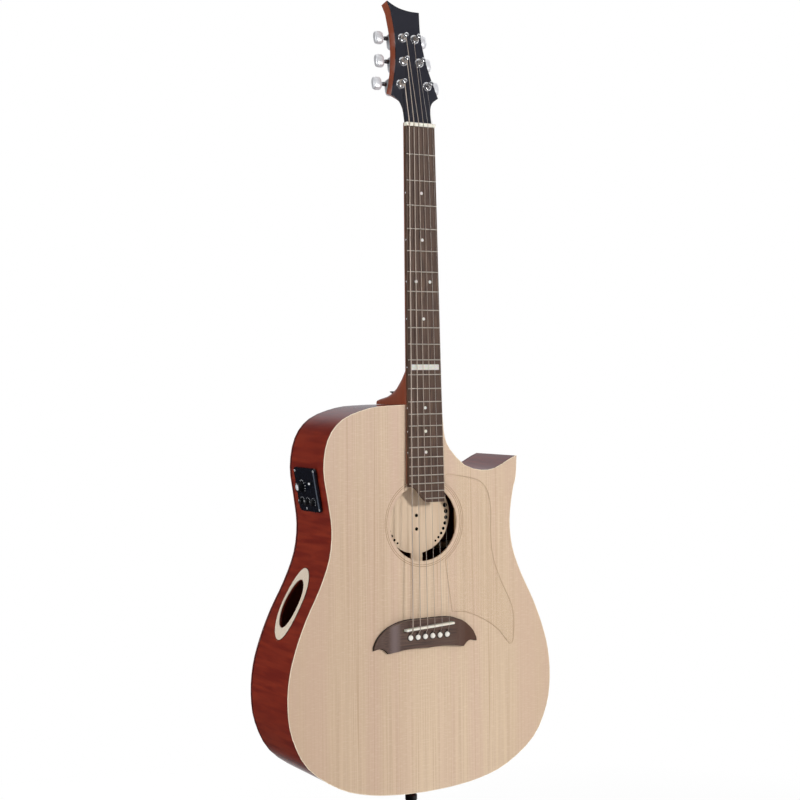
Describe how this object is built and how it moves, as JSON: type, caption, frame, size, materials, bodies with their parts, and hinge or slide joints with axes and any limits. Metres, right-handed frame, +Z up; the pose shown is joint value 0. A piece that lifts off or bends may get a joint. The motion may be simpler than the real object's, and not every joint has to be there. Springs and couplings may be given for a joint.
{
  "type": "acoustic-electric guitar",
  "caption": "Acoustic-electric steel-string guitar: hollow wooden body with a pointed cutaway, side sound port and control panel, long neck, angled headstock and tuning machines.",
  "frame": {"origin": "where a hanger's yoke would hold the guitar, behind the nut under the headstock, on the neck's centre line", "axes": "+Z up along the strings from the body to the headstock, -Y out of the soundboard towards the player's view, +X to the treble side with the cutaway"},
  "size_m": [0.3976, 0.1401, 1.0638],
  "materials": {
    "spruce": "satin clear over pale spruce",
    "mahogany": "gloss red-brown stain",
    "neck_mahogany": "gloss red-brown stain",
    "basswood": "bare sanded wood",
    "maple": "satin",
    "rosewood": "oiled open grain",
    "black_gloss": "gloss black lacquer",
    "bone_white": "satin off-white",
    "rod_steel": "plain steel",
    "clear_film": "clear film",
    "chrome": "polished",
    "string_steel": "plain drawn wire",
    "string_bronze": "wound bronze wire",
    "black_plastic": "satin black"
  },
  "bodies": {
    "guitar": {"soundboard": "spruce", "back_plate": "mahogany", "rib_bass": "mahogany", "rib_treble": "mahogany", "rib_cutaway": "mahogany", "lining_top": "basswood", "lining_back": "basswood", "neck_block": "basswood", "tail_block": "basswood", "top_bracing": "spruce", "back_bracing": "spruce", "centre_beam": "maple", "neck": "neck_mahogany", "headstock_overlay": "black_gloss", "fingerboard": "rosewood", "nut": "bone_white", "truss_rod": "rod_steel", "bridge": "rosewood", "saddle": "bone_white", "pickguard": "clear_film", "soundport_ring": "maple", "preamp_housing": "black_plastic", "strap_button": "black_plastic", "endpin_jack": "black_plastic", "tuner_housing_1": "chrome", "tuner_housing_2": "chrome", "tuner_housing_3": "chrome", "tuner_housing_4": "chrome", "tuner_housing_5": "chrome", "tuner_housing_6": "chrome", "bridge_pin_1": "bone_white", "bridge_pin_2": "bone_white", "bridge_pin_3": "bone_white", "bridge_pin_4": "bone_white", "bridge_pin_5": "bone_white", "bridge_pin_6": "bone_white", "string_1": "string_steel", "string_2": "string_steel", "string_3": "string_bronze", "string_4": "string_bronze", "string_5": "string_bronze", "string_6": "string_bronze"},
    "tuner_post_1": {"tuner_post_1": "chrome"},
    "tuner_button_1": {"tuner_button_1": "chrome"},
    "tuner_post_2": {"tuner_post_2": "chrome"},
    "tuner_button_2": {"tuner_button_2": "chrome"},
    "tuner_post_3": {"tuner_post_3": "chrome"},
    "tuner_button_3": {"tuner_button_3": "chrome"},
    "tuner_post_4": {"tuner_post_4": "chrome"},
    "tuner_button_4": {"tuner_button_4": "chrome"},
    "tuner_post_5": {"tuner_post_5": "chrome"},
    "tuner_button_5": {"tuner_button_5": "chrome"},
    "tuner_post_6": {"tuner_post_6": "chrome"},
    "tuner_button_6": {"tuner_button_6": "chrome"},
    "volume_knob": {"volume_knob": "black_plastic"},
    "bass_knob": {"bass_knob": "black_plastic"},
    "middle_knob": {"middle_knob": "black_plastic"},
    "treble_knob": {"treble_knob": "black_plastic"},
    "tuner_key": {"tuner_key": "black_plastic"}
  },
  "joints": [
    {"name": "button_1_turn", "type": "hinge", "parent": "guitar", "child": "tuner_button_1", "pos_m": [0.02012, 0.01977, 0.03279], "axis": [1, 0, 0], "continuous": true},
    {"name": "post_1_turn", "type": "hinge", "parent": "guitar", "child": "tuner_post_1", "pos_m": [0.02012, -0.00238, 0.02983], "axis": [0, -0.9781, 0.2079], "continuous": true},
    {"name": "button_2_turn", "type": "hinge", "parent": "guitar", "child": "tuner_button_2", "pos_m": [0.0122, 0.02648, 0.06438], "axis": [1, 0, 0], "continuous": true},
    {"name": "post_2_turn", "type": "hinge", "parent": "guitar", "child": "tuner_post_2", "pos_m": [0.0122, 0.00433, 0.06143], "axis": [0, -0.9781, 0.2079], "continuous": true},
    {"name": "button_3_turn", "type": "hinge", "parent": "guitar", "child": "tuner_button_3", "pos_m": [0.00935, 0.03335, 0.09668], "axis": [1, 0, 0], "continuous": true},
    {"name": "post_3_turn", "type": "hinge", "parent": "guitar", "child": "tuner_post_3", "pos_m": [0.00935, 0.0112, 0.09372], "axis": [0, -0.9781, 0.2079], "continuous": true},
    {"name": "button_4_turn", "type": "hinge", "parent": "guitar", "child": "tuner_button_4", "pos_m": [-0.00935, 0.03335, 0.09668], "axis": [-1, 0, 0], "continuous": true},
    {"name": "post_4_turn", "type": "hinge", "parent": "guitar", "child": "tuner_post_4", "pos_m": [-0.00935, 0.0112, 0.09372], "axis": [0, -0.9781, 0.2079], "continuous": true},
    {"name": "button_5_turn", "type": "hinge", "parent": "guitar", "child": "tuner_button_5", "pos_m": [-0.0122, 0.02648, 0.06438], "axis": [-1, 0, 0], "continuous": true},
    {"name": "post_5_turn", "type": "hinge", "parent": "guitar", "child": "tuner_post_5", "pos_m": [-0.0122, 0.00433, 0.06143], "axis": [0, -0.9781, 0.2079], "continuous": true},
    {"name": "button_6_turn", "type": "hinge", "parent": "guitar", "child": "tuner_button_6", "pos_m": [-0.02012, 0.01977, 0.03279], "axis": [-1, 0, 0], "continuous": true},
    {"name": "post_6_turn", "type": "hinge", "parent": "guitar", "child": "tuner_post_6", "pos_m": [-0.02012, -0.00238, 0.02983], "axis": [0, -0.9781, 0.2079], "continuous": true},
    {"name": "volume_knob_turn", "type": "hinge", "parent": "guitar", "child": "volume_knob", "pos_m": [-0.1452, 0.0458, -0.49474], "axis": [-0.9852, 0, -0.1717], "range_deg": [-135, 135]},
    {"name": "bass_knob_turn", "type": "hinge", "parent": "guitar", "child": "bass_knob", "pos_m": [-0.14177, 0.0518, -0.51444], "axis": [-0.9852, 0, -0.1717], "range_deg": [-135, 135]},
    {"name": "middle_knob_turn", "type": "hinge", "parent": "guitar", "child": "middle_knob", "pos_m": [-0.14177, 0.0358, -0.51444], "axis": [-0.9852, 0, -0.1717], "range_deg": [-135, 135]},
    {"name": "treble_knob_turn", "type": "hinge", "parent": "guitar", "child": "treble_knob", "pos_m": [-0.14177, 0.0198, -0.51444], "axis": [-0.9852, 0, -0.1717], "range_deg": [-135, 135]},
    {"name": "tuner_key_press", "type": "slide", "parent": "guitar", "child": "tuner_key", "axis": [0.9852, 0, 0.1717], "range_m": [0, 0.001], "stiffness_N_per_m": 300}
  ],
  "couplings": [
    {"joint": "post_1_turn", "follows": "button_1_turn", "ratio": 0.0556},
    {"joint": "post_2_turn", "follows": "button_2_turn", "ratio": 0.0556},
    {"joint": "post_3_turn", "follows": "button_3_turn", "ratio": 0.0556},
    {"joint": "post_4_turn", "follows": "button_4_turn", "ratio": -0.0556},
    {"joint": "post_5_turn", "follows": "button_5_turn", "ratio": -0.0556},
    {"joint": "post_6_turn", "follows": "button_6_turn", "ratio": -0.0556}
  ]
}
